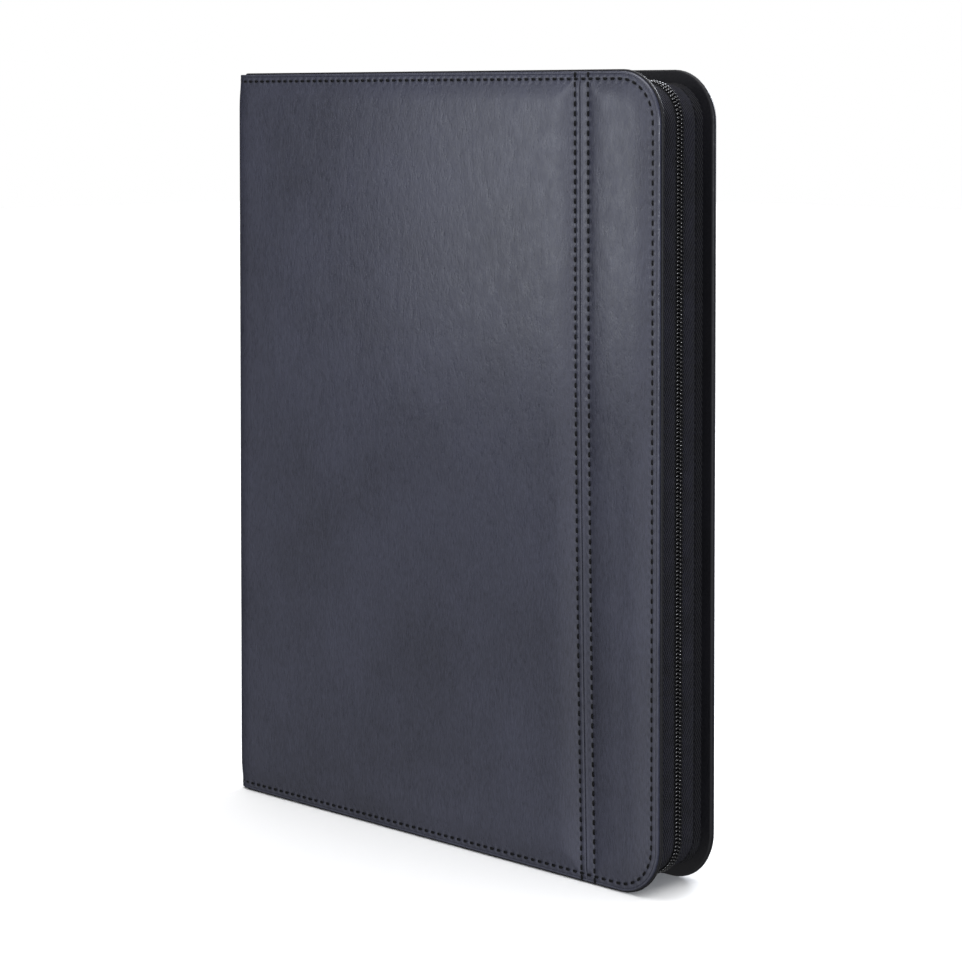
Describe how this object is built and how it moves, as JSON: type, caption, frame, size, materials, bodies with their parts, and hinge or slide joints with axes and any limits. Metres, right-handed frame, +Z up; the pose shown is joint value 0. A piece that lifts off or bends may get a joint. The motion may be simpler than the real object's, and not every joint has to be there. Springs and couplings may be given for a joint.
{
  "type": "trading card binder",
  "caption": "Padded zip-round ring binder for trading card pocket pages, with hinged covers, opening rings and turning leaves.",
  "frame": {"origin": "on the surface it stands on, at the centre of its box", "axes": "+Z up along the spine, +Y out of the back cover, -X at the spine and +X at the fore-edge; the front cover faces -Y"},
  "size_m": [0.267, 0.04, 0.345],
  "materials": {
    "soft_leather": "charcoal blue padded faux leather, fine brushed grain, soft sheen",
    "foam": "soft foam sheet",
    "greyboard": "grey stiffener board",
    "lining": "black smooth lining cloth",
    "gusset": "black gusset strip",
    "zip_tape": "black twill tape",
    "zip_coil": "black nylon coil",
    "ring_steel": "plated sheet steel",
    "ring_nickel": "bright nickel plate",
    "pocket_page": "black-backed clear nine-pocket film page",
    "slider_metal": "black lacquered metal"
  },
  "bodies": {
    "back_cover": {"back_skin": "soft_leather", "back_foam": "foam", "back_board": "greyboard", "back_lining": "lining", "back_zip_gusset": "gusset", "back_zip_tape": "zip_tape", "back_zip_coil": "zip_coil"},
    "spine": {"spine_skin": "soft_leather", "spine_board": "greyboard", "spine_lining": "lining", "ring_base_plate": "ring_steel", "rivet_top": "ring_nickel", "rivet_bottom": "ring_nickel"},
    "front_cover": {"front_skin_main": "soft_leather", "front_skin_fore": "soft_leather", "front_foam": "foam", "front_board": "greyboard", "front_lining": "lining", "front_zip_gusset": "gusset", "front_zip_tape": "zip_tape", "front_zip_coil": "zip_coil"},
    "front_ring_set": {"front_ring_blade": "ring_steel", "front_ring_top": "ring_nickel", "front_ring_middle": "ring_nickel", "front_ring_bottom": "ring_nickel"},
    "back_ring_set": {"back_ring_blade": "ring_steel", "back_ring_top": "ring_nickel", "back_ring_middle": "ring_nickel", "back_ring_bottom": "ring_nickel"},
    "lever_top": {"lever_top": "ring_nickel"},
    "lever_bottom": {"lever_bottom": "ring_nickel"},
    "zip_carriage": {"zip_slider": "slider_metal"},
    "zip_pull": {"zip_pull": "slider_metal"},
    "leaf_front_1": {"leaf_front_1": "pocket_page"},
    "leaf_front_2": {"leaf_front_2": "pocket_page"},
    "leaf_front_3": {"leaf_front_3": "pocket_page"},
    "leaf_front_4": {"leaf_front_4": "pocket_page"},
    "leaf_back_1": {"leaf_back_1": "pocket_page"},
    "leaf_back_2": {"leaf_back_2": "pocket_page"},
    "leaf_back_3": {"leaf_back_3": "pocket_page"},
    "leaf_back_4": {"leaf_back_4": "pocket_page"}
  },
  "joints": [
    {"name": "spine_open", "type": "hinge", "parent": "back_cover", "child": "spine", "pos_m": [-0.1335, 0.02, 0.1725], "axis": [0, 0, -1], "range_deg": [0, 90]},
    {"name": "front_cover_open", "type": "hinge", "parent": "spine", "child": "front_cover", "pos_m": [-0.1335, -0.02, 0.1725], "axis": [0, 0, -1], "range_deg": [0, 90]},
    {"name": "front_rings_open", "type": "hinge", "parent": "spine", "child": "front_ring_set", "pos_m": [-0.1275, -0.0095, 0.1725], "axis": [0, 0, -1], "range_deg": [0, 9]},
    {"name": "back_rings_open", "type": "hinge", "parent": "spine", "child": "back_ring_set", "pos_m": [-0.1275, 0.0095, 0.1725], "axis": [0, 0, 1], "range_deg": [0, 9]},
    {"name": "lever_top_press", "type": "hinge", "parent": "spine", "child": "lever_top", "pos_m": [-0.1275, 0, 0.3237], "axis": [0, -1, 0], "range_deg": [0, 27]},
    {"name": "lever_bottom_press", "type": "hinge", "parent": "spine", "child": "lever_bottom", "pos_m": [-0.1275, 0, 0.0213], "axis": [0, 1, 0], "range_deg": [0, 27]},
    {"name": "zip_slide", "type": "slide", "parent": "back_cover", "child": "zip_carriage", "axis": [1, 0, 0], "range_m": [0, 0.19]},
    {"name": "pull_swing", "type": "hinge", "parent": "zip_carriage", "child": "zip_pull", "pos_m": [-0.117, 0, 0.343], "axis": [0, -1, 0], "range_deg": [0, 160]},
    {"name": "leaf_front_1_turn", "type": "hinge", "parent": "spine", "child": "leaf_front_1", "pos_m": [-0.1165, 0, 0.1725], "axis": [0, 0, -1], "range_deg": [0, 92]},
    {"name": "leaf_front_2_turn", "type": "hinge", "parent": "spine", "child": "leaf_front_2", "pos_m": [-0.1165, 0, 0.1725], "axis": [0, 0, -1], "range_deg": [0, 92]},
    {"name": "leaf_front_3_turn", "type": "hinge", "parent": "spine", "child": "leaf_front_3", "pos_m": [-0.1165, 0, 0.1725], "axis": [0, 0, -1], "range_deg": [0, 92]},
    {"name": "leaf_front_4_turn", "type": "hinge", "parent": "spine", "child": "leaf_front_4", "pos_m": [-0.1165, 0, 0.1725], "axis": [0, 0, -1], "range_deg": [0, 92]},
    {"name": "leaf_back_1_turn", "type": "hinge", "parent": "spine", "child": "leaf_back_1", "pos_m": [-0.1165, 0, 0.1725], "axis": [0, 0, 1], "range_deg": [0, 92]},
    {"name": "leaf_back_2_turn", "type": "hinge", "parent": "spine", "child": "leaf_back_2", "pos_m": [-0.1165, 0, 0.1725], "axis": [0, 0, 1], "range_deg": [0, 92]},
    {"name": "leaf_back_3_turn", "type": "hinge", "parent": "spine", "child": "leaf_back_3", "pos_m": [-0.1165, 0, 0.1725], "axis": [0, 0, 1], "range_deg": [0, 92]},
    {"name": "leaf_back_4_turn", "type": "hinge", "parent": "spine", "child": "leaf_back_4", "pos_m": [-0.1165, 0, 0.1725], "axis": [0, 0, 1], "range_deg": [0, 92]}
  ],
  "couplings": [
    {"joint": "back_rings_open", "follows": "front_rings_open", "ratio": 1},
    {"joint": "lever_top_press", "follows": "front_rings_open", "ratio": 3},
    {"joint": "lever_bottom_press", "follows": "front_rings_open", "ratio": 3},
    {"joint": "leaf_front_1_turn", "follows": "front_cover_open", "ratio": 1.018},
    {"joint": "leaf_front_2_turn", "follows": "front_cover_open", "ratio": 1.0135},
    {"joint": "leaf_front_3_turn", "follows": "front_cover_open", "ratio": 1.009},
    {"joint": "leaf_front_4_turn", "follows": "front_cover_open", "ratio": 1.0045},
    {"joint": "leaf_back_1_turn", "follows": "spine_open", "ratio": 1.018},
    {"joint": "leaf_back_2_turn", "follows": "spine_open", "ratio": 1.0135},
    {"joint": "leaf_back_3_turn", "follows": "spine_open", "ratio": 1.009},
    {"joint": "leaf_back_4_turn", "follows": "spine_open", "ratio": 1.0045}
  ]
}
